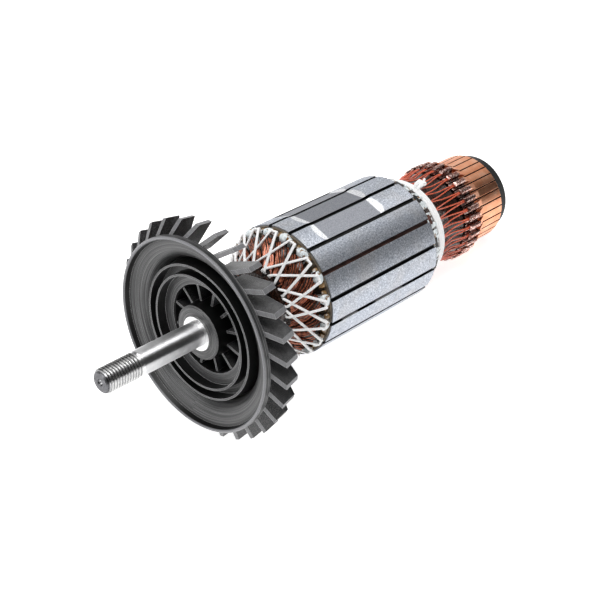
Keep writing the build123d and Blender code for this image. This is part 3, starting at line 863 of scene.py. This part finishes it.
def make_leads():
    """Two wires to each bar, spread at the band and pinched together in the hook."""
    draw = random.Random(8)
    parts = []
    for k in range(BARS):
        middle = BAR_PHASE + BAR_PITCH * k
        for side in (-1, 1):
            spread = side * LEAD_SPREAD + draw.uniform(-0.4, 0.4)
            pinch = side * LEAD_PINCH
            # Angles go from the spread to the pinch by the shares beside them
            path = [
                polar(126.3, 21.0, middle + spread),
                polar(128.6, 20.7, middle + spread * 0.86 + pinch * 0.14),
                polar(131.8, 20.0 + draw.uniform(0, 0.15), middle + spread * 0.66 + pinch * 0.34),
                polar(WAIST_X + 0.4, WAIST_RADIUS + 1.8, middle + spread * 0.44 + pinch * 0.56),
                polar(138.6, 20.2, middle + spread * 0.22 + pinch * 0.78),
                polar(142.4, 20.75, middle + pinch),
                polar(148.6, 20.75, middle + pinch),
            ]
            parts.append(tube(smooth_path(path, 3), LEAD_RADIUS))
    verts, faces = merged(parts)
    leads = piece("lead_pairs", verts, faces, LEAD)
    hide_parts("lead_wires")


# Floor, light and camera
FLOOR_SIZE = 40
FLOOR_GLOW = 0.85
OVERHEAD_SIZE = (0.5, 0.5)
OVERHEAD_POWER = 5
LEFT_SIZE = (0.35, 0.6)
LEFT_POWER = 3
STUDIO_GREY = 0.035


def make_stage():
    """A pale floor that is lit from inside, as a light table is."""
    bpy.ops.mesh.primitive_plane_add(size=FLOOR_SIZE)
    floor = bpy.context.object
    floor.name = "floor"
    m = bpy.data.materials.new("pale_floor")
    m.use_nodes = True
    shader = m.node_tree.nodes["Principled BSDF"]
    shader.inputs["Base Color"].default_value = (0.8, 0.8, 0.8, 1)
    shader.inputs["Roughness"].default_value = 0.8
    shader.inputs["Specular IOR Level"].default_value = 0.0
    shader.inputs["Emission Color"].default_value = (1, 1, 1, 1)
    shader.inputs["Emission Strength"].default_value = FLOOR_GLOW
    floor.data.materials.append(m)


def area_light(name, where, target, size, power):
    """A soft rectangular lamp that points at the target."""
    data = bpy.data.lights.new(name, "AREA")
    data.shape = "RECTANGLE"
    data.size, data.size_y = size
    data.energy = power
    obj = bpy.data.objects.new(name, data)
    bpy.context.scene.collection.objects.link(obj)
    obj.location = where
    obj.rotation_euler = (target - where).to_track_quat("-Z", "Y").to_euler()


def make_camera():
    """The fitted camera, as it stands to the armature that lies on the floor."""
    view_up = Vector((0, -1, 0))
    up = (view_up - SHAFT_IN_VIEW * view_up.dot(SHAFT_IN_VIEW)).normalized()
    side = SHAFT_IN_VIEW.cross(up)
    part_z = up * cos(TURN_IN_VIEW) + side * sin(TURN_IN_VIEW)
    part_y = up * sin(TURN_IN_VIEW) - side * cos(TURN_IN_VIEW)
    to_part = Matrix((SHAFT_IN_VIEW, part_y, part_z))
    camera_axes = to_part @ Matrix.Diagonal((1, -1, -1))
    turn = LAY.to_quaternion().to_matrix() @ camera_axes
    where = LAY @ -(to_part @ FAN_IN_VIEW)
    data = bpy.data.cameras.new("camera")
    data.lens = LENS
    data.sensor_width = SENSOR
    data.clip_start = 0.01
    camera = bpy.data.objects.new("camera", data)
    camera.matrix_world = Matrix.Translation(where) @ turn.to_4x4()
    bpy.context.scene.collection.objects.link(camera)
    bpy.context.scene.camera = camera
    return camera


def make_light(camera):
    """Two soft lamps in a dark studio that glows at the ceiling, over the commutator's end, on the far
    side from the camera and behind the camera's left."""
    centre = Vector((0, 0, 0.03))
    view = camera.matrix_world.to_3x3()
    right = view @ Vector((1, 0, 0))
    ahead = view @ Vector((0, 0, -1))
    right.z = 0
    ahead.z = 0
    right.normalize()
    ahead.normalize()
    high = Vector((0, 0, 1))
    overhead = centre + high * 0.8 - ahead * 0.1
    area_light("overhead", overhead, centre, OVERHEAD_SIZE, OVERHEAD_POWER)
    left = centre - right * 0.7 + high * 0.35 - ahead * 0.3
    area_light("left", left, centre, LEFT_SIZE, LEFT_POWER)
    world = bpy.data.worlds.new("studio")
    bpy.context.scene.world = world
    world.use_nodes = True
    tree = world.node_tree
    coords = tree.nodes.new("ShaderNodeTexCoord")
    # Direction of each glow, cosines from it where the glow begins and where it is full, and its strength
    glows = [
        (high, 0.72, 0.98, 0.4),
        (Vector((0.74, 0, 0.67)), 0.82, 0.985, 0.25),
        ((ahead - right * 0.15 + high * 0.4).normalized(), 0.7, 0.97, 0.95),
        ((-right * 0.9 - ahead * 0.4 + high * 0.2).normalized(), 0.5, 0.95, 0.1),
    ]
    glow = None
    for direction, begins, full, strength in glows:
        dot = tree.nodes.new("ShaderNodeVectorMath")
        dot.operation = "DOT_PRODUCT"
        dot.inputs[1].default_value = direction
        tree.links.new(coords.outputs["Generated"], dot.inputs[0])
        spread = tree.nodes.new("ShaderNodeMapRange")
        spread.interpolation_type = "SMOOTHSTEP"
        spread.inputs["From Min"].default_value = begins
        spread.inputs["From Max"].default_value = full
        spread.inputs["To Max"].default_value = strength
        tree.links.new(dot.outputs["Value"], spread.inputs["Value"])
        total = tree.nodes.new("ShaderNodeMath")
        total.operation = "ADD"
        tree.links.new(spread.outputs[0], total.inputs[0])
        total.inputs[1].default_value = STUDIO_GREY
        if glow:
            tree.links.new(glow, total.inputs[1])
        glow = total.outputs[0]
    background = tree.nodes["Background"]
    background.inputs["Color"].default_value = (1, 1, 1, 1)
    tree.links.new(glow, background.inputs["Strength"])


dress_nodes()
make_thread()
make_front_strands()
make_front_lacing()
make_front_cuffs()
make_rear_cuffs()
make_band()
make_tuft()
make_leads()
make_stage()
make_light(make_camera())
bpy.context.scene.view_settings.view_transform = "Standard"
